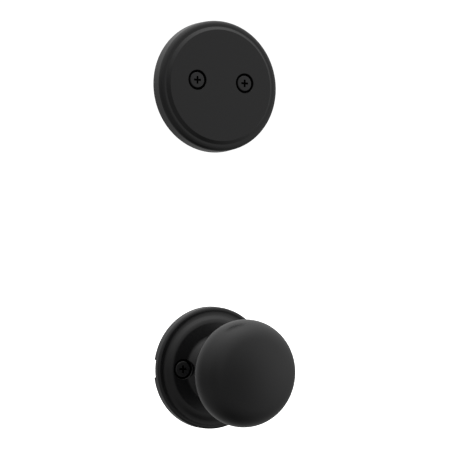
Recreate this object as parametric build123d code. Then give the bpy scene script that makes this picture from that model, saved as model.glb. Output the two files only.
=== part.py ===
from build123d import *
import math
import os

os.makedirs("parts", exist_ok=True)

# Every piece is drawn face-on, x to the right, y up and z out from the door, then stood up.
# Heights are out from the door face, so what is let into the door has a negative height.

skin = 1.2                   # sheet of the stamped rose and cover
free_gap = 0.35              # air between what turns and what stays still
run_gap = 0.05               # radial running fit

rose_r = 32.5
rim_h = 5.9                  # top of the rose's outer rim
rim_draft = 0.25
trough_r = rose_r - 3.8      # dished ring inside the rim
trough_h = 4.9
trough_fillet = 2.8
plateau_fillet = 3.6
plateau_r = rose_r - 7.1     # raised centre that holds the screws
plateau_h = 7.8
collar_foot_r = 16.8         # soft rise from the plateau to the neck
collar_r = 13.4
collar_h = 11.0
notch_w = 9.2                # prising notch in the rim's back edge
notch_h = 1.8

screw_circle_d = 38.1
screw_r = 2.0
screw_tip = -18.0
screw_relief_r = 1.7         # plain length under the head, thinner than the thread
screw_relief_end = 0.1
screw_hole_r = 2.3
head_r = 4.15
head_h = 1.7
cross_l = 4.6
cross_w = 1.1
cross_depth = 1.3
cross_taper = 8.0
recess_r = 5.15
recess_depth = 1.8

liner_back = 0.2             # the sheet liners clear the door by this
liner_t = 1.5
post_r = 4.4                 # liner posts under the screw recesses
hub_r = 10.9
bush_r = 9.3
bush_back = -0.5
washer_t = 0.6
washer_r = 11.6

cage_r = 15.0                # spring cage let into the door's round bore
cage_t = 1.0
cage_back = -9.5
ear_reach = 22.0
ear_w = 8.0
ear_t = 1.2
ear_count = 4
rivet_circle_r = 18.6
rivet_r = 1.4
rivet_head_r = 2.3
rivet_head_h = 0.8

shank_r = 8.0
shank_wall = 1.8
shank_back = -13.5
shank_front = 44.0
key_w = 3.0

driver_front = -1.0
driver_disc_t = 1.4
driver_hub_r = 9.2
driver_back = -8.6
wire_r = 0.6
coil_r = 10.2
coil_front = -3.6
coil_back = -7.8
coil_turns = 3
leg_reach = 13.5
tang_w = 3.2
tang_gap = 0.1
lug_w = 3.8
stop_w = 2.0
stop_play_deg = 0.8
turn_deg = 60.0              # how far the knob turns each way

ring_r = 9.8
ring_t = 0.9
ring_depth = 0.7
ring_opening_deg = 60.0
slip_washer_t = 0.5
slip_washer_r = 11.0

socket_front = 2.0
spindle_r = 3.9
spindle_flat = 1.6           # the spindle's flat, this far past its centre
spindle_play = 0.1

bulb_r = 27.4
bulb_mid = 41.0              # height of the seam, where the knob is widest
bulb_front_h = 16.1
bulb_shoulder_r = 14.0       # full round shoulder that meets the shallow crown of the front
bulb_back_h = 15.5
bulb_skin = 1.0
neck_r = 12.3
neck_flare = 0.8
neck_fillet = 4.0

core_hub_r = 10.9
core_back = 16.0
core_front = 47.0
core_web_t = 3.4
core_hole_r = 4.2
core_hole_count = 6
pin_r = 1.5
pin_h = 30.0

cover_r = 35.15
cover_draft = 0.5
cover_shoulder_h = 8.5
cover_shoulder_fillet = 2.6
cover_crease_r = cover_r - 3.8
cover_face_r = cover_r - 5.55
cover_h = 9.9
cover_centre = 149.9         # up from the knob's axis
cover_screw_spacing = 28.0
cover_screw_rise = 2.0       # the screws sit a little above the cover's centre
cover_liner_t = 1.6

tiny = 0.01
deep = 100.0


def outline(points):
    """Section face from (radius, height) points; a third number rounds that corner."""
    face = make_face(Polyline(*[p[:2] for p in points], close=True))
    for p in points:
        if len(p) == 3:
            corner = face.vertices().sort_by_distance(Vector(p[0], p[1]))[0]
            face = fillet(corner, p[2])
    return face


def turned(face):
    return revolve(Plane.XZ * face, Axis.Z)


def rod(radius, low, high, at=(0, 0)):
    base = Pos(at[0], at[1], low) * Circle(radius)
    return extrude(base, high - low)


def tube(radius, bore, low, high):
    return rod(radius, low, high) - rod(bore, low - tiny, high + tiny)


def block(x, y, low, high):
    """Box from (low, high) pairs in x and y."""
    size = (x[1] - x[0], y[1] - y[0], high - low)
    centre = ((x[0] + x[1]) / 2, (y[0] + y[1]) / 2, (low + high) / 2)
    return Pos(*centre) * Box(*size)


def stamped(points):
    """Sheet dome: the outline minus the same outline one sheet further in."""
    outer = turned(outline(points))
    sharp = [p[:2] for p in points]
    top = sharp[-1][1]
    grown = [(-skin, -skin), (sharp[1][0], -skin)] + sharp[2:-1] + [(-skin, top)]
    inner = turned(offset(make_face(Polyline(*grown, close=True)), -skin, kind=Kind.INTERSECTION))
    return outer, outer - inner


def dimpled(envelope, sheet, top, places):
    """Press a round flat-bottomed recess with a screw hole into the sheet at each place."""
    floor = top - recess_depth
    for place in places:
        cup = rod(recess_r + skin, floor - skin, 2 * top, place) & envelope
        sheet = sheet + cup - rod(recess_r, floor, 2 * top, place)
        sheet = sheet - rod(screw_hole_r, floor - 2 * skin, top, place)
    return sheet


def screw(place, top):
    """Pan-head cross-recess machine screw seated on the floor of its recess."""
    seat = top - recess_depth
    head = fillet(rod(head_r, seat, seat + head_h).edges().sort_by(Axis.Z)[-1], head_h / 4)
    shaft = chamfer(rod(screw_r, screw_tip, screw_relief_end).edges().sort_by(Axis.Z)[0], screw_r / 4)
    shaft = shaft + rod(screw_relief_r, screw_relief_end, seat)
    mark = Rectangle(cross_l, cross_w) + Rectangle(cross_w, cross_l)
    cross = extrude(Pos(0, 0, seat + head_h) * mark, -cross_depth, taper=cross_taper)
    return Pos(place[0], place[1], 0) * Rot(0, 0, 90) * (head + shaft - cross)


rose_places = [(-screw_circle_d / 2, 0), (screw_circle_d / 2, 0)]
cover_places = [(-cover_screw_spacing / 2, cover_screw_rise), (cover_screw_spacing / 2, cover_screw_rise)]


def rose():
    points = [(0, 0), (rose_r, 0), (rose_r - rim_draft, rim_h, 1.5), (trough_r, trough_h, trough_fillet),
              (plateau_r, plateau_h, plateau_fillet), (collar_foot_r, plateau_h, 3.0),
              (collar_r, collar_h, 0.9), (0, collar_h)]
    envelope, sheet = stamped(points)
    sheet = dimpled(envelope, sheet, plateau_h, rose_places)
    sheet = sheet - rod(bush_r + run_gap, plateau_h, collar_h + skin)
    return sheet - block((-rose_r - skin, rose_r + skin), (-notch_w / 2, notch_w / 2), -skin, notch_h)


def rose_liner():
    top = liner_back + liner_t
    post_top = plateau_h - recess_depth - skin
    body = rod(rose_r - skin - rim_draft, liner_back, top)
    body = body + rod(hub_r, liner_back, collar_h - skin)
    for place in rose_places:
        body = body + rod(post_r, liner_back, post_top, place)
        body = body - rod(screw_hole_r, liner_back - skin, post_top + skin, place)
    for i in range(ear_count):
        body = body - rod(rivet_r, liner_back - skin, top + skin, rivet_place(i))
    return body - rod(bush_r, liner_back - skin, collar_h)


def bearing_bush():
    return tube(bush_r, shank_r + run_gap, bush_back, collar_h)


def thrust_washer():
    return tube(washer_r, shank_r + free_gap, collar_h, collar_h + washer_t)


def rivet_place(i):
    angle = math.radians(360 / ear_count * (i + 0.5))
    return rivet_circle_r * math.cos(angle), rivet_circle_r * math.sin(angle)


def stop_angle():
    lug = math.degrees(math.atan2(lug_w / 2, leg_reach))
    stop = math.degrees(math.atan2(stop_w / 2, leg_reach))
    return turn_deg + lug + stop + stop_play_deg


def spring_cage():
    """Cup with ears riveted to the liner, a fixed tang at the top and two stops low down."""
    inner = cage_r - cage_t
    disc_r = inner - free_gap - tang_depth() - free_gap
    cup = tube(cage_r, inner, cage_back, liner_back)
    for i in range(ear_count):
        ear = block((inner, ear_reach), (-ear_w / 2, ear_w / 2), liner_back - ear_t, liner_back)
        cup = cup + Rot(0, 0, 360 / ear_count * (i + 0.5)) * ear - rod(cage_r - cage_t / 2,
                                                                     cage_back - 1, cage_back)
    cup = cup - rod(inner, cage_back - tiny, liner_back + tiny)
    for i in range(ear_count):
        cup = cup - rod(rivet_r, liner_back - 2 * ear_t, liner_back + skin, rivet_place(i))
    reach = (disc_r + free_gap, inner + cage_t / 2)
    cup = cup + block((-tang_w / 2, tang_w / 2), reach, cage_back, driver_front - driver_disc_t)
    stop = block((-stop_w / 2, stop_w / 2), reach, driver_front - 2 * driver_disc_t, driver_front)
    for side in (-1, 1):
        cup = cup + Rot(0, 0, 180 + side * stop_angle()) * stop
    return cup


def tang_depth():
    return (cage_r - cage_t - coil_r - wire_r - 3 * free_gap) / 2


def cage_cap():
    return tube(cage_r, shank_r + free_gap, cage_back - cage_t, cage_back)


def cage_rivets():
    """Four rivets through the ears and the liner, with a head on each side."""
    top = liner_back + liner_t
    low = liner_back - ear_t
    group = []
    for i in range(ear_count):
        place = rivet_place(i)
        group.append(rod(rivet_r, low, top, place)
                     + rod(rivet_head_r, top, top + rivet_head_h, place)
                     + rod(rivet_head_r, low - rivet_head_h, low, place))
    return Compound(children=group)


def return_spring():
    """Torsion coil round the driver's hub; its two legs straddle both tangs."""
    offset_deg = math.degrees(math.asin((tang_w / 2 + tang_gap + wire_r) / coil_r))
    turns = coil_turns + 2 * offset_deg / 360
    height = coil_front - coil_back
    path = Pos(0, 0, coil_back) * Rot(0, 0, 90 - offset_deg) * Helix(height / turns, height, coil_r)
    start = Plane(origin=path @ 0, z_dir=path % 0)
    coil = sweep(start * Circle(wire_r), path=path, is_frenet=True)
    for end, side in ((path @ 0, 1), (path @ 1, -1)):
        leg = extrude(Plane(origin=end, z_dir=(0, 1, 0)) * Circle(wire_r), leg_reach - end.Y)
        coil = coil + leg + Pos(*end) * Sphere(wire_r)
    return coil


def spring_driver():
    """Keyed plate that winds the spring: a tang at the top, a stop lug at the bottom."""
    inner = cage_r - cage_t
    disc_r = inner - free_gap - tang_depth() - free_gap
    back = driver_front - driver_disc_t
    body = rod(disc_r, back, driver_front) + rod(driver_hub_r, driver_back, driver_front)
    body = body + block((-lug_w / 2, lug_w / 2), (-inner + free_gap, 0), back, driver_front)
    body = body - rod(shank_r, driver_back - tiny, driver_front + tiny)
    tang = block((-tang_w / 2, tang_w / 2), (disc_r - tang_depth(), disc_r - free_gap / 2),
                 driver_back, driver_front)
    keys = block((-key_w / 2, key_w / 2), (-shank_r - tiny, shank_r + tiny), driver_back, driver_front)
    keys = keys - rod(shank_r - shank_wall, driver_back - tiny, driver_front + tiny)
    return body + tang + keys


def knob_shank():
    body = tube(shank_r, shank_r - shank_wall, shank_back, shank_front)
    body = body - block((-key_w / 2, key_w / 2), (-deep, deep), shank_back - tiny, driver_front)
    groove = tube(deep, shank_r - ring_depth, ring_low(), ring_low() + ring_t)
    pin = Rot(0, 90, 0) * Cylinder(pin_r, 4 * shank_r)
    return body - groove - Pos(0, 0, pin_h) * pin


def ring_low():
    return cage_back - cage_t - free_gap - slip_washer_t - ring_t


def retaining_ring():
    """Open ring sprung into the shank's groove."""
    ring = tube(ring_r, shank_r - ring_depth, ring_low(), ring_low() + ring_t)
    half = math.radians(ring_opening_deg / 2)
    wedge = make_face(Polyline((0, 0), (2 * ring_r, -2 * ring_r * math.tan(half)),
                               (2 * ring_r, 2 * ring_r * math.tan(half)), close=True))
    return ring - extrude(Pos(0, 0, ring_low() - tiny) * wedge, ring_t + 2 * tiny)


def slip_washer():
    low = ring_low() + ring_t
    return tube(slip_washer_r, shank_r + run_gap, low, low + slip_washer_t)


def spindle_socket():
    """Plug in the shank with the D-shaped hole that takes the latch spindle."""
    plug = rod(shank_r - shank_wall, shank_back, socket_front)
    radius = spindle_r + spindle_play
    hole = rod(radius, shank_back - tiny, socket_front + tiny)
    hole = hole & block((-deep, deep), (-deep, spindle_flat + spindle_play), -deep, deep)
    return plug - hole


def front_half(inset):
    """Section of the front half, shrunk by the inset: the shoulder's arc runs smoothly into the crown's."""
    reach = bulb_r - bulb_shoulder_r
    crown = (reach ** 2 + bulb_front_h ** 2 - bulb_shoulder_r ** 2) / (2 * (bulb_front_h - bulb_shoulder_r))
    base = bulb_mid + bulb_front_h - crown
    slope = math.atan2(bulb_mid - base, reach)

    def along(x, y, radius, angle):
        return x + (radius - inset) * math.cos(angle), y + (radius - inset) * math.sin(angle)

    start = (bulb_r - inset, bulb_mid)
    meet = along(0, base, crown, slope)
    top = (0, bulb_mid + bulb_front_h - inset)
    shoulder = ThreePointArc(start, along(reach, bulb_mid, bulb_shoulder_r, slope / 2), meet)
    face = ThreePointArc(meet, along(0, base, crown, (slope + math.pi / 2) / 2), top)
    return make_face(shoulder + face + Polyline(top, (0, bulb_mid), start))


def back_half(inset):
    """Section of the back half above the neck: a quarter of an oval."""
    oval = Pos(0, bulb_mid) * Ellipse(bulb_r - inset, bulb_back_h - inset)
    return oval & Pos(bulb_r / 2, bulb_mid - bulb_back_h / 2) * Rectangle(bulb_r, bulb_back_h)


def neck_end():
    return collar_h + washer_t + free_gap


def back_face(inset):
    """Section of the knob's back half and neck, shrunk by the inset."""
    bulb = back_half(inset)
    neck = make_face(Polyline((0, neck_end() + inset), (neck_r - inset, neck_end() + inset),
                              (neck_r + neck_flare - inset, bulb_mid - bulb_back_h / 2),
                              (0, bulb_mid - bulb_back_h / 2), close=True))
    face = bulb + neck
    join = [v for v in face.vertices() if v.X > neck_r - inset and v.Y < bulb_mid - tiny
            and v.Y > neck_end() + 2 * inset + 1]
    return fillet(join, neck_fillet)


def knob_front():
    return turned(front_half(0)) - front_room()


def front_room():
    return turned(front_half(bulb_skin))


def knob_back():
    return turned(back_face(0)) - back_room() - rod(shank_r, 0, bulb_mid)


def back_room():
    return turned(back_face(bulb_skin))


def knob_core():
    """Cast hub with a pierced web that fills the knob across its seam."""
    web = rod(bulb_r, bulb_mid - core_web_t / 2, bulb_mid + core_web_t / 2)
    web = web & (front_room() + back_room())
    for i in range(core_hole_count):
        angle = math.radians(360 / core_hole_count * (i + 0.5))
        reach = (core_hub_r + bulb_r - bulb_skin) / 2
        web = web - rod(core_hole_r, 0, deep, (reach * math.cos(angle), reach * math.sin(angle)))
    body = web + rod(core_hub_r, core_back, core_front)
    pin = Rot(0, 90, 0) * Cylinder(pin_r, 4 * shank_r)
    return body - rod(shank_r, 0, shank_front) - Pos(0, 0, pin_h) * pin


def shank_pin():
    return Pos(0, 0, pin_h) * Rot(0, 90, 0) * Cylinder(pin_r, 2 * core_hub_r)


def bolt_cover():
    points = [(0, 0), (cover_r, 0), (cover_r - cover_draft, cover_shoulder_h, cover_shoulder_fillet),
              (cover_crease_r, cover_shoulder_h, 0.3), (cover_face_r, cover_h, 0.4), (0, cover_h)]
    envelope, sheet = stamped(points)
    return Pos(0, cover_centre, 0) * dimpled(envelope, sheet, cover_h, cover_places)


def cover_liner():
    post_top = cover_h - recess_depth - skin
    body = rod(cover_r - skin - cover_draft, liner_back, liner_back + cover_liner_t)
    for place in cover_places:
        body = body + rod(post_r, liner_back, post_top, place)
        body = body - rod(screw_hole_r, liner_back - skin, post_top + skin, place)
    return Pos(0, cover_centre, 0) * body


def rose_screws():
    return Compound(children=[screw(place, plateau_h) for place in rose_places])


def cover_screws():
    pair = [screw(place, cover_h) for place in cover_places]
    return Compound(children=[Pos(0, cover_centre, 0) * one for one in pair])


nodes = {
    "rose": rose, "rose_liner": rose_liner, "bearing_bush": bearing_bush,
    "thrust_washer": thrust_washer, "spring_cage": spring_cage, "cage_cap": cage_cap,
    "cage_rivets": cage_rivets, "return_spring": return_spring, "rose_screws": rose_screws,
    "knob_front": knob_front, "knob_back": knob_back, "knob_core": knob_core,
    "knob_shank": knob_shank, "shank_pin": shank_pin, "spindle_socket": spindle_socket,
    "spring_driver": spring_driver, "slip_washer": slip_washer, "retaining_ring": retaining_ring,
    "bolt_cover": bolt_cover, "cover_liner": cover_liner, "cover_screws": cover_screws,
}
for name, make in nodes.items():
    export_step(Rot(90, 0, 0) * make(), f"parts/{name}.step")
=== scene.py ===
import math

import bmesh
import bpy
from mathutils import Matrix, Vector


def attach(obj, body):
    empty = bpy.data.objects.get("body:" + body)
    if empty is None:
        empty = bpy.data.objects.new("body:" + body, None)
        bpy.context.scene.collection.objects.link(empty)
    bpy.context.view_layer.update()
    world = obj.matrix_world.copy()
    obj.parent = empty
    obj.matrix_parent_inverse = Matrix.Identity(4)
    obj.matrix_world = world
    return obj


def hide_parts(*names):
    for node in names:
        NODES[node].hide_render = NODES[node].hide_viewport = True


bl_info = {
    "name": "Round door knob and blank cover",
    "version": (1, 0, 0),
    "blender": (4, 5, 0),
    "location": "3D View > Sidebar > Door knob",
    "description": "Builds a black round door knob on its stepped rose and the blank cover above",
    "category": "Object",
}

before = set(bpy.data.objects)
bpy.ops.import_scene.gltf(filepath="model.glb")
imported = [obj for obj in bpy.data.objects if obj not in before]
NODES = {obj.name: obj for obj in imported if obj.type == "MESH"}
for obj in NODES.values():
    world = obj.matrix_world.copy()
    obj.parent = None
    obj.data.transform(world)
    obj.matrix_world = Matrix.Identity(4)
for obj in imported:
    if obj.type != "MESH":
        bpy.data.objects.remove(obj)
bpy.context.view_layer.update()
MM = 0.001
FINISH = {}                 # materials that the built pieces share, by short name

PAINT = "#161617"
PAINT_ROUGHNESS = 0.30
NOISE_LOW, NOISE_HIGH = 0.3, 0.7   # where most of a noise texture's values lie
DRIFT_MM = 14               # how far the coat's sheen takes to change
DRIFT_ROUGHNESS = 0.02

WELD = 0.001 * MM           # vertices closer than this become one
SPIN_WELD = 0.002 * MM
RING_MATCH = 0.01 * MM      # how near a vertex lies to the profile's corner it came from
SHARP_ANGLE = math.radians(32)

# steps round a full turn
SHELL_STEPS = 192
RECESS_STEPS = 64
SCREW_STEPS = 48
SCREW_HOLE_STEPS = 32

# everything below is in mm, with heights measured out from the door face
SHEET = 1.2
RIM_H = 5.9
TROUGH_H = 4.9
PLATEAU_H = 7.8
COLLAR_H = 11.0
COLLAR_R = 13.4
COLLAR_FOOT_R = 16.8
BUSH_HOLE_R = 9.35
ROSE_SCREWS = [(-19.05, 0), (19.05, 0)]
NOTCH_W = 9.2
NOTCH_H = 1.8
ROSE_SHADE_LOW = 3         # a rose recess's faces above this get the painted shade

COVER_SHOULDER_H = 8.5
COVER_H = 9.9
COVER_SCREW_X = 14.0
COVER_SCREW_RISE = 2.0      # the screws sit this far above the cover's centre
# a cover recess's faces above this get the painted shade
COVER_SHADE_LOW = 5

HEAD_R = 4.15
HEAD_H = 1.7
RECESS_R = 5.15
RECESS_DEPTH = 1.8
RECESS_LIP = 0.3
# how far out from a screw the painted recess shade reaches
RECESS_SHADE_REACH = RECESS_R + 0.1
CUP_INSET = 0.05            # the cup ends just under the sheet's outer face
SCREW_HOLE_R = 2.3
RELIEF_R = 1.7
THREAD_R = 2.0
THREAD_ROOT_R = 1.62
THREAD_START = 0.1
THREAD_PITCH = 0.7
SCREW_TIP = -18.0

BULB_MID = 41.0
BULB_FRONT = 16.1
BULB_BACK = 15.5
BULB_SHOULDER = 14.0
BULB_SKIN = 1.0
NECK_R = 12.3
NECK_FLARE = 0.7
NECK_END = 11.95
SHANK_R = 8.0

SOFT_BOX_FALLOFF = 6.0
RING_BOXES = 6
RING_TILT = 40              # degrees above and below eye level
SIDE_BOX_AZIMUTH = 55
BACKDROP = 1.1              # what the camera sees behind everything
FLOOR_HALF = 8.0
SENSOR_WIDTH = 36.0


def linear(hex_colour):
    """Linear RGBA from an sRGB hex colour."""
    text = hex_colour.lstrip("#")
    parts = [int(text[i:i + 2], 16) / 255 for i in (0, 2, 4)]
    return (*(c / 12.92 if c <= 0.04045 else ((c + 0.055) / 1.055) ** 2.4 for c in parts), 1.0)


def add(tree, kind, settings=None, **links):
    """A node with its settings, and its sockets set to a value or linked to another's output.

    A socket is named by its name, with _ for a space, or by its number, as _0.
    """
    node = tree.nodes.new(kind)
    for key, value in (settings or {}).items():
        setattr(node, key, value)
    for name, value in links.items():
        which = int(name[1:]) if name[1:].isdigit() else name.replace("_", " ")
        socket = node.inputs[which]
        if isinstance(value, bpy.types.NodeSocket):
            tree.links.new(value, socket)
        else:
            socket.default_value = value
    return node


def new_material(name):
    material = bpy.data.materials.new(name)
    material.use_nodes = True
    tree = material.node_tree
    tree.nodes.clear()
    return material, tree


def coated_steel(name, colour, roughness, grain_mm, grain_bump):
    """A black coat or moulding: low sheen, with the faint orange peel of a sprayed coat."""
    material, tree = new_material(name)
    place = add(tree, "ShaderNodeTexCoord")
    peel = add(tree, "ShaderNodeTexNoise", Vector=place.outputs["Object"],
               Scale=1 / (grain_mm * MM), Detail=3.0, Roughness=0.55)
    drift = add(tree, "ShaderNodeTexNoise", Vector=place.outputs["Object"],
                Scale=1 / (DRIFT_MM * MM), Detail=2.0)
    rough = add(tree, "ShaderNodeMapRange", _0=drift.outputs["Fac"], _1=NOISE_LOW, _2=NOISE_HIGH,
                _3=roughness - DRIFT_ROUGHNESS, _4=roughness + DRIFT_ROUGHNESS)
    bump = add(tree, "ShaderNodeBump", Strength=grain_bump, Distance=0.02 * MM,
               Height=peel.outputs["Fac"])
    shader = add(tree, "ShaderNodeBsdfPrincipled", Base_Color=linear(colour),
                 Roughness=rough.outputs["Result"], Normal=bump.outputs["Normal"])
    add(tree, "ShaderNodeOutputMaterial", Surface=shader.outputs["BSDF"])
    return material


def bare_metal(name, colour, roughness, grain_mm, grain_bump):
    """Unpainted metal: full reflection, with fine uneven working marks that break it up."""
    material, tree = new_material(name)
    place = add(tree, "ShaderNodeTexCoord")
    marks = add(tree, "ShaderNodeTexNoise", Vector=place.outputs["Object"],
                Scale=1 / (grain_mm * MM), Detail=4.0)
    rough = add(tree, "ShaderNodeMapRange", _0=marks.outputs["Fac"], _1=NOISE_LOW, _2=NOISE_HIGH,
                _3=roughness - 0.06, _4=roughness + 0.08)
    bump = add(tree, "ShaderNodeBump", Strength=grain_bump, Distance=0.03 * MM,
               Height=marks.outputs["Fac"])
    shader = add(tree, "ShaderNodeBsdfPrincipled", Base_Color=linear(colour), Metallic=1.0,
                 Roughness=rough.outputs["Result"], Normal=bump.outputs["Normal"])
    add(tree, "ShaderNodeOutputMaterial", Surface=shader.outputs["BSDF"])
    return material


class StageSettings(bpy.types.PropertyGroup):
    azimuth: bpy.props.FloatProperty(
        name="Azimuth", description="Camera's angle round the knob",
        default=math.radians(-26.77), unit="ROTATION")
    elevation: bpy.props.FloatProperty(
        name="Elevation", description="Camera's angle above the level",
        default=math.radians(-1.38), unit="ROTATION")
    roll: bpy.props.FloatProperty(
        name="Roll", description="Camera's tilt about its own line of sight",
        default=math.radians(0.76), unit="ROTATION")
    distance: bpy.props.FloatProperty(
        name="Distance", description="Camera to the point it looks at",
        default=0.7563, unit="LENGTH")
    aim: bpy.props.FloatVectorProperty(
        name="Aim", description="Point on the door face that the camera looks at",
        default=(0.00825, 0.0, 0.07615), subtype="TRANSLATION")
    lens: bpy.props.FloatProperty(
        name="Lens", description="Focal length in millimetres", default=112.5)
    overhead: bpy.props.FloatProperty(
        name="Overhead", description="Strength of the box overhead", default=1.4)
    upper: bpy.props.FloatProperty(
        name="Upper ring", description="Strength of each box above eye level", default=0.5)
    level: bpy.props.FloatProperty(
        name="Level ring", description="Strength of each box at eye level", default=0.16)
    lower: bpy.props.FloatProperty(
        name="Lower ring", description="Strength of each box below eye level", default=0.18)
    rear: bpy.props.FloatProperty(
        name="Rear", description="Strength of the extra box behind", default=0.3)
    side: bpy.props.FloatProperty(
        name="Side", description="Strength of the extra box on the right", default=0.5)
    floor_drop: bpy.props.FloatProperty(
        name="Floor drop", description="Floor below the knob's axis",
        default=0.25, unit="LENGTH")
    floor_colour: bpy.props.StringProperty(
        name="Floor colour", description="sRGB hex", default="#F4F4F2")


def from_angles(azimuth, elevation):
    """Direction to a point at an azimuth and elevation in degrees; azimuth 0 faces the door."""
    a, e = math.radians(azimuth), math.radians(elevation)
    return math.sin(a) * math.cos(e), -math.cos(a) * math.cos(e), math.sin(e)


class KNOB_OT_stage(bpy.types.Operator):
    """Floor, soft light and camera"""
    bl_idname = "knob.stage"
    bl_label = "Stage"

    def execute(self, context):
        s = context.scene.stage_settings
        scene = context.scene
        mesh = bpy.data.meshes.new("floor")
        bm = bmesh.new()
        bmesh.ops.create_grid(bm, x_segments=1, y_segments=1, size=FLOOR_HALF)
        bmesh.ops.translate(bm, verts=bm.verts, vec=(0, 0, -s.floor_drop))
        bm.to_mesh(mesh)
        bm.free()
        floor = bpy.data.objects.new("floor", mesh)
        scene.collection.objects.link(floor)
        floor.visible_diffuse = False
        floor.visible_glossy = False
        material, tree = new_material("pale_floor")
        shader = add(tree, "ShaderNodeBsdfPrincipled", Base_Color=linear(s.floor_colour),
                     Roughness=0.8, Emission_Color=(1, 1, 1, 1), Emission_Strength=1.0)
        add(tree, "ShaderNodeOutputMaterial", Surface=shader.outputs["BSDF"])
        mesh.materials.append(material)

        world = bpy.data.worlds.new("tent")
        scene.world = world
        world.use_nodes = True
        tree = world.node_tree
        tree.nodes.clear()
        place = add(tree, "ShaderNodeTexCoord")
        boxes = [(0, 90, s.overhead), (SIDE_BOX_AZIMUTH, 0, s.side), (180, 0, s.rear)]
        for i in range(RING_BOXES):
            azimuth = 360 / RING_BOXES * (i + 0.5)
            boxes += [(azimuth, RING_TILT, s.upper), (azimuth, 0, s.level),
                      (azimuth, -RING_TILT, s.lower)]
        glow = 0.0
        for azimuth, elevation, strength in boxes:
            facing = add(tree, "ShaderNodeVectorMath", {"operation": "DOT_PRODUCT"},
                         _0=place.outputs["Generated"], _1=from_angles(azimuth, elevation))
            front = add(tree, "ShaderNodeMath", {"operation": "MAXIMUM"},
                        _0=facing.outputs["Value"], _1=0.0)
            spread = add(tree, "ShaderNodeMath", {"operation": "POWER"}, _0=front.outputs[0],
                         _1=SOFT_BOX_FALLOFF)
            glow = add(tree, "ShaderNodeMath", {"operation": "MULTIPLY_ADD"}, _0=spread.outputs[0],
                       _1=strength, _2=glow).outputs[0]
        path = add(tree, "ShaderNodeLightPath")
        seen = add(tree, "ShaderNodeBackground", Color=(1, 1, 1, 1), Strength=BACKDROP)
        lit = add(tree, "ShaderNodeBackground", Color=(1, 1, 1, 1), Strength=glow)
        mixed = add(tree, "ShaderNodeMixShader", _0=path.outputs["Is Camera Ray"],
                    _1=lit.outputs["Background"], _2=seen.outputs["Background"])
        add(tree, "ShaderNodeOutputWorld", Surface=mixed.outputs["Shader"])

        camera = bpy.data.objects.new("camera", bpy.data.cameras.new("camera"))
        scene.collection.objects.link(camera)
        camera.data.lens = s.lens
        camera.data.sensor_width = SENSOR_WIDTH
        camera.data.clip_start = 0.05
        camera.data.clip_end = 50.0
        back = Vector(from_angles(math.degrees(s.azimuth), math.degrees(s.elevation)))
        level = Vector((math.cos(s.azimuth), math.sin(s.azimuth), 0))
        up = back.cross(level)
        right = level * math.cos(s.roll) + up * math.sin(s.roll)
        basis = Matrix((right, back.cross(right), back)).transposed().to_4x4()
        camera.matrix_world = Matrix.Translation(Vector(s.aim) + back * s.distance) @ basis
        scene.camera = camera
        scene.view_settings.view_transform = "Standard"
        return {"FINISHED"}


class KnobSettings(bpy.types.PropertyGroup):
    rose_radius: bpy.props.FloatProperty(
        name="Rose radius", description="Outer rim of the rose",
        default=32.5 * MM, unit="LENGTH")
    cover_radius: bpy.props.FloatProperty(
        name="Cover radius", description="Outer rim of the blank cover",
        default=35.15 * MM, unit="LENGTH")
    cover_centre: bpy.props.FloatProperty(
        name="Cover height", description="Blank cover above the knob's axis",
        default=149.9 * MM, unit="LENGTH")
    knob_radius: bpy.props.FloatProperty(
        name="Knob radius", description="Knob at its widest",
        default=27.4 * MM, unit="LENGTH")


def piece_from(bm, name, body, replaced, material, shade_hollows=()):
    """Finishes a mesh: closed, outward normals, smooth with sharp corners, body, slot, material.

    Faces inside a hollow, given as (place, radius, low, high) in mm, take a near-black matte
    material: painted shade for the darkness down in the recess.
    """
    bmesh.ops.remove_doubles(bm, verts=bm.verts, dist=WELD)
    bmesh.ops.holes_fill(bm, edges=[e for e in bm.edges if e.is_boundary], sides=0)
    bmesh.ops.recalc_face_normals(bm, faces=bm.faces)
    mesh = bpy.data.meshes.new(name)
    for face in bm.faces:
        x, out, z = (c / MM for c in face.calc_center_median() * Vector((1, -1, 1)))
        if any(math.hypot(x - at[0], z - at[1]) < radius and low < out < high
               for at, radius, low, high in shade_hollows):
            # painted shade: faces down in a recess take the near-black second material
            face.material_index = 1
    bm.to_mesh(mesh)
    bm.free()
    mesh.shade_smooth()
    mesh.set_sharp_from_angle(angle=SHARP_ANGLE)
    piece = bpy.data.objects.new(name, mesh)
    bpy.context.scene.collection.objects.link(piece)
    mesh.materials.append(material)
    if shade_hollows:
        # the recess's painted shade material goes in the second slot
        mesh.materials.append(FINISH["recess"])
    weigh = piece.modifiers.new("even_normals", "WEIGHTED_NORMAL")
    weigh.keep_sharp = True
    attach(piece, body)
    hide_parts(*replaced)
    return piece


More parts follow.
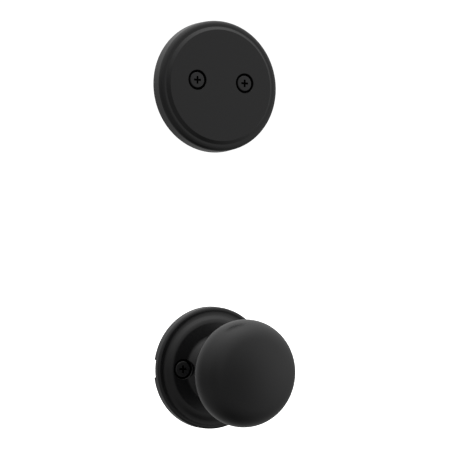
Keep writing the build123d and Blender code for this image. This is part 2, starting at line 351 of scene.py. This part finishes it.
def turned(points, steps, centre=(0.0, 0.0)):
    """Spins a profile of (radius, height out from the door, rounding, segments) about the axis.

    The profile is a closed loop, or runs from axis to axis. Rounding and segments may be left
    out; a corner that has them is bevelled after the spin.
    """
    bm = bmesh.new()
    cx, cz = centre
    verts = [bm.verts.new((p[0] * MM, -p[1] * MM, 0)) for p in points]
    chain = [bm.edges.new(pair) for pair in zip(verts, verts[1:] + verts[:1])
             if pair[0].co.x > 0 or pair[1].co.x > 0]
    bmesh.ops.spin(bm, geom=verts + chain, axis=(0, 1, 0), cent=(0, 0, 0), angle=2 * math.pi,
                   steps=steps, use_merge=True)
    bmesh.ops.remove_doubles(bm, verts=bm.verts, dist=SPIN_WELD)
    count = len(points)
    for i, p in enumerate(points):
        if len(p) < 3:
            continue
        before, after = points[i - 1], points[(i + 1) % count]
        a = Vector((p[0] - before[0], p[1] - before[1]))
        b = Vector((after[0] - p[0], after[1] - p[1]))
        turn = a.angle(b)
        ring = [e for e in bm.edges
                if all(abs(math.hypot(v.co.x, v.co.z) - p[0] * MM) < RING_MATCH
                       and abs(-v.co.y - p[1] * MM) < RING_MATCH for v in e.verts)]
        bmesh.ops.bevel(bm, geom=ring, offset=p[2] * MM * math.tan(turn / 2),
                        offset_type="OFFSET", segments=p[3], profile=0.5, affect="EDGES",
                        material=-1, clamp_overlap=False)
    bmesh.ops.translate(bm, verts=bm.verts, vec=(cx * MM, 0, cz * MM))
    return bm


def temporary(bm, name):
    """Scratch object for a boolean step."""
    bmesh.ops.remove_doubles(bm, verts=bm.verts, dist=WELD)
    bmesh.ops.recalc_face_normals(bm, faces=bm.faces)
    mesh = bpy.data.meshes.new(name)
    bm.to_mesh(mesh)
    bm.free()
    helper = bpy.data.objects.new(name, mesh)
    bpy.context.scene.collection.objects.link(helper)
    return helper


def carved(bm, steps):
    """Joins or cuts other meshes in turn, each given as (operation, mesh)."""
    base = temporary(bm, "blank")
    helpers = []
    for operation, tool in steps:
        helper = temporary(tool, "tool")
        helpers.append(helper)
        change = base.modifiers.new("carve", "BOOLEAN")
        change.operation = operation
        change.solver = "EXACT"
        change.object = helper
    graph = bpy.context.evaluated_depsgraph_get()
    result = bmesh.new()
    result.from_mesh(base.evaluated_get(graph).to_mesh())
    for helper in helpers + [base]:
        bpy.data.objects.remove(helper)
    return result


def dimple_steps(places, top, outline, centre=(0.0, 0.0)):
    """At each place: the pressed cup, kept within the outline, its hollow and the screw hole."""
    floor = top - RECESS_DEPTH
    wall = RECESS_R + SHEET
    mouth = RECESS_R + RECESS_LIP
    for place in places:
        cup = [(0, floor - SHEET), (wall, floor - SHEET), (wall, 2 * top), (0, 2 * top)]
        inside = [(p[0] - CUP_INSET, p[1] - CUP_INSET, *p[2:]) for p in outline]
        envelope = turned(inside + [(0, inside[-1][1]), (0, inside[0][1])], SHELL_STEPS, centre)
        yield "UNION", carved(turned(cup, RECESS_STEPS, place), [("INTERSECT", envelope)])
        hollow = [(0, floor), (RECESS_R, floor), (RECESS_R, top - RECESS_LIP, 0.4, 3),
                  (mouth, top + RECESS_LIP / 4, 0.2, 2), (mouth, 2 * top), (0, 2 * top)]
        yield "DIFFERENCE", turned(hollow, RECESS_STEPS, place)
        under = floor - 2 * SHEET
        hole = [(0, under), (SCREW_HOLE_R, under), (SCREW_HOLE_R, top), (0, top)]
        yield "DIFFERENCE", turned(hole, SCREW_HOLE_STEPS, place)


def box_between(low, high):
    """Box between two corners, in mm, as (x, y, z)."""
    bm = bmesh.new()
    bmesh.ops.create_cube(bm, size=1)
    size = [(b - a) * MM for a, b in zip(low, high)]
    middle = [(a + b) / 2 * MM for a, b in zip(low, high)]
    bmesh.ops.scale(bm, vec=size, verts=bm.verts)
    bmesh.ops.translate(bm, vec=middle, verts=bm.verts)
    return bm


class KNOB_OT_rose(bpy.types.Operator):
    """Stepped rose, pressed from sheet, with its screw recesses and prising notches"""
    bl_idname = "knob.rose"
    bl_label = "Rose"

    def execute(self, context):
        r = context.scene.knob_settings.rose_radius / MM
        outer = [(r, 0.0, 0.3, 3), (r - 0.25, RIM_H, 1.5, 8), (r - 3.8, TROUGH_H, 2.8, 8),
                 (r - 7.1, PLATEAU_H, 3.6, 10), (COLLAR_FOOT_R, PLATEAU_H, 3.0, 8),
                 (COLLAR_R, COLLAR_H, 0.9, 6), (BUSH_HOLE_R, COLLAR_H)]
        inner = [(BUSH_HOLE_R, COLLAR_H - SHEET), (12.6, COLLAR_H - SHEET),
                 (16.2, PLATEAU_H - SHEET), (r - 7.6, PLATEAU_H - SHEET), (r - 3.4, 3.4),
                 (r - 1.4, TROUGH_H - SHEET), (r - SHEET, 0.0)]
        steps = list(dimple_steps(ROSE_SCREWS, PLATEAU_H, outer))
        notch = box_between((-r - 1, -NOTCH_H, -NOTCH_W / 2), (r + 1, 1.0, NOTCH_W / 2))
        steps.append(("DIFFERENCE", notch))
        bm = carved(turned(outer + inner, SHELL_STEPS), steps)
        # painted shade on the faces down in each screw recess
        shade_hollows = [(place, RECESS_SHADE_REACH, ROSE_SHADE_LOW, PLATEAU_H - RECESS_LIP)
                   for place in ROSE_SCREWS]
        piece_from(bm, "rose_shell", "trim", ["rose"], FINISH["paint"], shade_hollows)
        return {"FINISHED"}


def cover_screw_places(z):
    """The cover's two screws, for a cover whose centre is at height z."""
    return [(x, z + COVER_SCREW_RISE) for x in (-COVER_SCREW_X, COVER_SCREW_X)]


class KNOB_OT_cover(bpy.types.Operator):
    """Blank cover, pressed from sheet, with two screw recesses"""
    bl_idname = "knob.cover"
    bl_label = "Blank cover"

    def execute(self, context):
        s = context.scene.knob_settings
        r, z = s.cover_radius / MM, s.cover_centre / MM
        outer = [(r, 0.0, 0.3, 3), (r - 0.5, COVER_SHOULDER_H, 2.6, 12),
                 (r - 3.8, COVER_SHOULDER_H, 0.25, 3), (r - 5.55, COVER_H, 0.3, 4), (0, COVER_H)]
        inner = [(0, COVER_H - SHEET), (r - 6.0, COVER_H - SHEET), (r - 7.0, 7.4), (r - 1.9, 7.4),
                 (r - SHEET, 0.0)]
        places = cover_screw_places(z)
        steps = list(dimple_steps(places, COVER_H, outer[:-1], (0, z)))
        bm = carved(turned(outer + inner, SHELL_STEPS, (0, z)), steps)
        # painted shade on the faces down in each screw recess
        shade_hollows = [(place, RECESS_SHADE_REACH, COVER_SHADE_LOW, COVER_H - RECESS_LIP)
                   for place in places]
        piece_from(bm, "cover_shell", "trim", ["bolt_cover"], FINISH["paint"],
                   shade_hollows)
        return {"FINISHED"}


def arc(centre, radius, start, end, steps):
    """Points along an arc in a profile, with angles in radians from straight out sideways."""
    angles = [start + (end - start) * i / steps for i in range(steps + 1)]
    return [(max(centre[0] + radius * math.cos(a), 0), centre[1] + radius * math.sin(a))
            for a in angles]


def bulb_front(r, inset):
    """Outline of the knob's front from seam to axis: a shoulder that runs into a shallow crown."""
    reach = r - BULB_SHOULDER
    rise = BULB_FRONT - BULB_SHOULDER
    crown = (reach ** 2 + BULB_FRONT ** 2 - BULB_SHOULDER ** 2) / (2 * rise)
    base = BULB_MID + BULB_FRONT - crown
    slope = math.atan2(BULB_MID - base, reach)
    shoulder = arc((reach, BULB_MID), BULB_SHOULDER - inset, 0, slope, 24)
    face = arc((0, base), crown - inset, slope, math.pi / 2, 20)[1:-1]
    return shoulder + face + [(0, BULB_MID + BULB_FRONT - inset)]


def bulb_back(r, inset):
    """Outline of the knob's back from seam to neck end: an oval, then the flared neck."""
    quarter = arc((0, 0), 1, 0, -math.pi / 2, 40)
    oval = [((r - inset) * x, BULB_MID + (BULB_BACK - inset) * y) for x, y in quarter]
    wide = NECK_R + NECK_FLARE - inset
    kept = [p for p in oval if p[0] > wide + 0.3]
    drop = BULB_MID - (BULB_BACK - inset) * math.sqrt(1 - (wide / (r - inset)) ** 2)
    return kept + [(wide, drop, 4.0, 8), (NECK_R - inset, NECK_END + inset)]


class KNOB_OT_knob(bpy.types.Operator):
    """Two pressed shells of the knob: the flattened front and the back with its neck"""
    bl_idname = "knob.knob"
    bl_label = "Knob"

    def execute(self, context):
        r = context.scene.knob_settings.knob_radius / MM
        front = bulb_front(r, 0) + bulb_front(r, BULB_SKIN)[::-1]
        piece_from(turned(front, SHELL_STEPS), "knob_front_shell", "knob",
                   ["knob_front"], FINISH["knob_paint"])
        outer, inner = bulb_back(r, 0), bulb_back(r, BULB_SKIN)
        back = outer[:-1] + [(NECK_R, NECK_END, 0.4, 4), (SHANK_R, NECK_END)]
        back += [(SHANK_R, NECK_END + BULB_SKIN)] + inner[::-1]
        piece_from(turned(back, SHELL_STEPS), "knob_back_shell", "knob",
                   ["knob_back"], FINISH["knob_paint"])
        return {"FINISHED"}


def screw_mesh(place, top):
    """Pan head with a cross recess, a plain relief and a threaded end."""
    seat = top - RECESS_DEPTH
    face = seat + HEAD_H
    body = [(0, face), (HEAD_R, face - 0.12, 0.5, 6), (HEAD_R, seat), (RELIEF_R, seat),
            (RELIEF_R, THREAD_START), (THREAD_R, THREAD_START)]
    height = THREAD_START - 0.15
    while height > SCREW_TIP + 1.2:
        body += [(THREAD_R, height - 0.1), (THREAD_ROOT_R, height - THREAD_PITCH / 2),
                 (THREAD_R, height - THREAD_PITCH + 0.1)]
        height -= THREAD_PITCH
    body += [(THREAD_R, SCREW_TIP + 0.5), (1.5, SCREW_TIP), (0, SCREW_TIP)]
    bm = turned(body, SCREW_STEPS, place)
    arms = []
    for long_x, long_z in ((2.55, 0.68), (0.68, 2.55)):
        arm = bmesh.new()
        bmesh.ops.create_cube(arm, size=1)
        size = (2 * long_x * MM, 3.6 * MM, 2 * long_z * MM)
        bmesh.ops.scale(arm, vec=size, verts=arm.verts)
        foot = [v for v in arm.verts if v.co.y > 0]
        bmesh.ops.scale(arm, vec=(0.6, 1, 0.6), verts=foot)
        bmesh.ops.translate(arm, vec=(place[0] * MM, -face * MM, place[1] * MM),
                            verts=arm.verts)
        arms.append(("DIFFERENCE", arm))
    return carved(bm, arms)


class KNOB_OT_screws(bpy.types.Operator):
    """The two pairs of cross-recess machine screws"""
    bl_idname = "knob.screws"
    bl_label = "Screws"

    def execute(self, context):
        z = context.scene.knob_settings.cover_centre / MM
        pairs = (("rose_screw_pair", "rose_screws", PLATEAU_H, ROSE_SCREWS),
                 ("cover_screw_pair", "cover_screws", COVER_H, cover_screw_places(z)))
        for name, node, top, places in pairs:
            whole = bmesh.new()
            for place in places:
                one = screw_mesh(place, top)
                part = bpy.data.meshes.new("one")
                one.to_mesh(part)
                one.free()
                whole.from_mesh(part)
                bpy.data.meshes.remove(part)
            face = top - RECESS_DEPTH + HEAD_H
            # painted shade in each head's cross recess
            shade_hollows = [(place, HEAD_R - 0.8, face - 1.9, face - 0.2) for place in places]
            piece_from(whole, name, "trim", [node], FINISH["oxide"], shade_hollows)
        return {"FINISHED"}


class KNOB_OT_finishes(bpy.types.Operator):
    """Gives each kept node the finish of its real material"""
    bl_idname = "knob.finishes"
    bl_label = "Finishes"

    def execute(self, context):
        paint = coated_steel("stoved_black_paint", PAINT, PAINT_ROUGHNESS, 0.35, 0.12)
        knob_paint = coated_steel("stoved_black_paint_knob", PAINT, PAINT_ROUGHNESS, 0.35, 0.10)
        oxide = coated_steel("black_oxide_screw", "#202021", 0.4, 0.2, 0.3)
        plated = bare_metal("zinc_plated_sheet", "#B9BABB", 0.35, 0.8, 0.2)
        lathed = bare_metal("turned_steel", "#A9A8A5", 0.28, 0.3, 0.2)
        cast = bare_metal("cast_zinc", "#8C8D8E", 0.5, 0.6, 0.6)
        brass = bare_metal("turned_brass", "#C9A45A", 0.25, 0.3, 0.15)
        spring = bare_metal("spring_wire", "#4A4A4C", 0.35, 0.25, 0.2)
        plastic = coated_steel("moulded_acetal", "#1C1C1D", 0.45, 0.5, 0.1)
        # painted shade: near-black, matte and almost unreflective, standing in for the darkness
        # that falls down in the screw recesses and cross slots
        recess = coated_steel("painted_recess_shade", "#050505", 0.9, 0.2, 0.3)
        shader = recess.node_tree.nodes["Principled BSDF"]
        shader.inputs["Specular IOR Level"].default_value = 0.05
        FINISH.update(paint=paint, knob_paint=knob_paint, oxide=oxide, recess=recess)
        worn = {
            "rose_liner": plated, "cover_liner": plated,
            "spring_cage": plated, "cage_cap": plated, "cage_rivets": lathed, "shank_pin": lathed,
            "knob_shank": lathed, "spring_driver": lathed, "return_spring": spring,
            "retaining_ring": spring, "knob_core": cast, "spindle_socket": cast,
            "bearing_bush": brass, "thrust_washer": plastic, "slip_washer": plastic,
        }
        for name, material in worn.items():
            mesh = NODES[name].data
            mesh.materials.clear()
            mesh.materials.append(material)
        return {"FINISHED"}


class KNOB_PT_panel(bpy.types.Panel):
    bl_idname = "KNOB_PT_panel"
    bl_label = "Door knob"
    bl_space_type = "VIEW_3D"
    bl_region_type = "UI"
    bl_category = "Door knob"

    def draw(self, context):
        for name in ("knob.finishes", "knob.rose", "knob.cover", "knob.knob", "knob.screws",
                     "knob.stage"):
            self.layout.operator(name)


classes = (StageSettings, KnobSettings, KNOB_OT_stage, KNOB_OT_finishes, KNOB_OT_rose,
           KNOB_OT_cover, KNOB_OT_knob, KNOB_OT_screws, KNOB_PT_panel)


def register():
    for cls in classes:
        bpy.utils.register_class(cls)
    bpy.types.Scene.stage_settings = bpy.props.PointerProperty(type=StageSettings)
    bpy.types.Scene.knob_settings = bpy.props.PointerProperty(type=KnobSettings)


def unregister():
    del bpy.types.Scene.knob_settings
    del bpy.types.Scene.stage_settings
    for cls in reversed(classes):
        bpy.utils.unregister_class(cls)


def main():
    register()
    bpy.ops.knob.finishes()
    bpy.ops.knob.rose()
    bpy.ops.knob.cover()
    bpy.ops.knob.knob()
    bpy.ops.knob.screws()
    bpy.ops.knob.stage()


if __name__ == "__main__":
    main()
